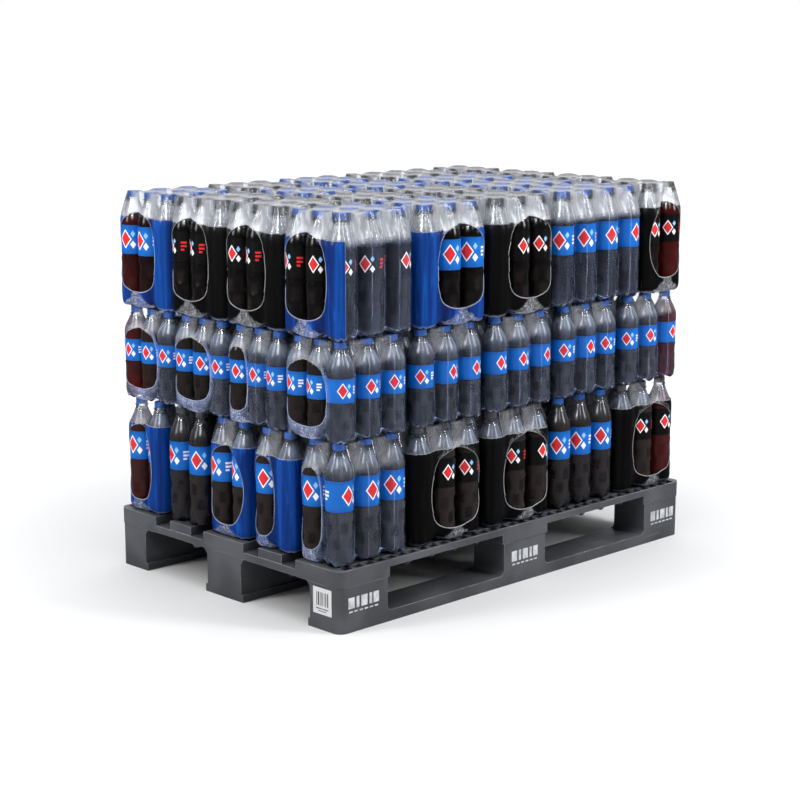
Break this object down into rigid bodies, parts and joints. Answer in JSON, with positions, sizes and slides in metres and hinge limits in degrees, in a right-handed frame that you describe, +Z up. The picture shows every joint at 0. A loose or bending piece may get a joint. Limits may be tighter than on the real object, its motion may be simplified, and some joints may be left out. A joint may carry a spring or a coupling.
{
  "type": "pallet of soda bottles",
  "caption": "Grey plastic pallet loaded with three layers of shrink-wrapped packs of cola bottles in clear, blue and black film.",
  "frame": {"origin": "on the floor under the centre of the pallet", "axes": "+X along the long side of the pallet, +Y along its short side, +Z up; the corner shown nearest is at -X, -Y"},
  "size_m": [1.2, 0.8, 0.919],
  "materials": {
    "pallet_plastic": "moulded dark grey plastic with scuffed edges",
    "label_paper": "matt white paper label",
    "clear_film": "clear shrink film, wrinkled and milky where it gathers",
    "blue_film": "printed blue shrink film",
    "black_film": "printed black shrink film",
    "bottle_plastic": "clear glossy bottle plastic",
    "cola": "dark brown drink",
    "blue_label": "printed blue wrap label",
    "black_label": "printed black wrap label",
    "blue_cap": "moulded blue screw cap",
    "grey_cap": "moulded dark grey screw cap"
  },
  "bodies": {
    "root": {"pallet_deck": "pallet_plastic", "near_skid": "pallet_plastic", "middle_skid": "pallet_plastic", "far_skid": "pallet_plastic", "pallet_label": "label_paper", "lower_core": "cola", "lower_pack_1_1": "clear_film", "lower_pack_1_2": "blue_film", "lower_pack_1_3": "blue_film", "lower_pack_1_4": "clear_film", "lower_pack_1_5": "blue_film", "lower_pack_2_1": "black_film", "lower_pack_2_5": "black_film", "lower_pack_3_1": "black_film", "lower_pack_3_5": "clear_film", "lower_pack_4_1": "clear_film", "lower_pack_4_5": "blue_film", "lower_pack_5_1": "black_film", "lower_pack_5_2": "clear_film", "lower_pack_5_3": "blue_film", "lower_pack_5_4": "clear_film", "lower_pack_5_5": "black_film", "middle_core": "cola", "middle_pack_1_1": "clear_film", "middle_pack_1_2": "clear_film", "middle_pack_1_3": "clear_film", "middle_pack_1_4": "clear_film", "middle_pack_2_1": "clear_film", "middle_pack_2_4": "clear_film", "middle_pack_3_1": "clear_film", "middle_pack_3_4": "clear_film", "middle_pack_4_1": "clear_film", "middle_pack_4_4": "clear_film", "middle_pack_5_1": "clear_film", "middle_pack_5_2": "clear_film", "middle_pack_5_3": "clear_film", "middle_pack_5_4": "clear_film", "upper_pack_1_1": "clear_film", "upper_pack_1_2": "black_film", "upper_pack_1_3": "black_film", "upper_pack_1_4": "blue_film", "upper_pack_2_1": "blue_film", "upper_pack_2_2": "black_film", "upper_pack_2_3": "blue_film", "upper_pack_2_4": "black_film", "upper_pack_3_1": "black_film", "upper_pack_3_2": "black_film", "upper_pack_3_3": "blue_film", "upper_pack_3_4": "blue_film", "upper_pack_4_1": "clear_film", "upper_pack_4_2": "blue_film", "upper_pack_4_3": "blue_film", "upper_pack_4_4": "black_film", "upper_pack_5_1": "black_film", "upper_pack_5_2": "black_film", "upper_pack_5_3": "black_film", "upper_pack_5_4": "black_film"}
  },
  "joints": []
}
